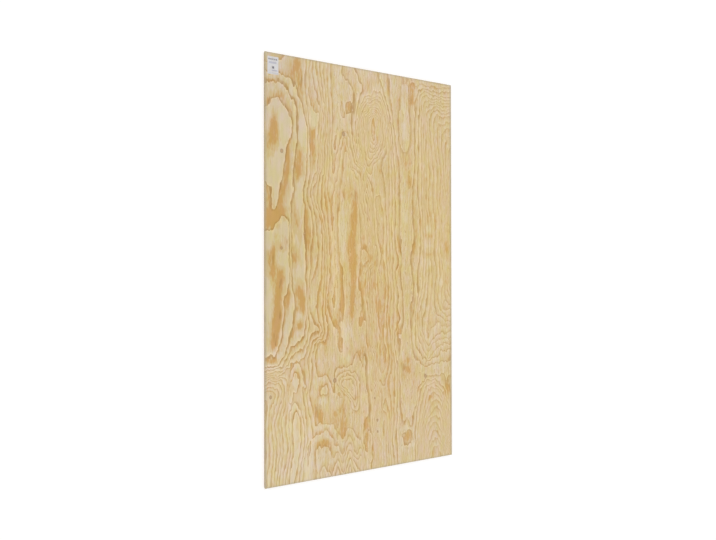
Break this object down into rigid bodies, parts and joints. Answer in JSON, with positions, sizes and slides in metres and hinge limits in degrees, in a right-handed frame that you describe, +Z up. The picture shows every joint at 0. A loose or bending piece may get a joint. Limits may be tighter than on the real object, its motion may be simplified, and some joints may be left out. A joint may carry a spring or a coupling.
{
  "type": "plywood sheet",
  "caption": "Rectangular softwood plywood sheet with crossed plies on its sawn edges, a sanded pine face and a paper label near one corner, for flooring, walls and joinery.",
  "frame": {"origin": "centre of the underside, on the floor that the sheet lies on", "axes": "+X across the sheet, +Y along the grain of its faces towards the labelled end, +Z up out of the better face"},
  "size_m": [1.22, 2.44, 0.0182],
  "materials": {
    "pine_plywood": "matte",
    "label_paper": "matte"
  },
  "bodies": {
    "root": {"plywood_panel": "pine_plywood", "paper_label": "label_paper"}
  },
  "joints": []
}
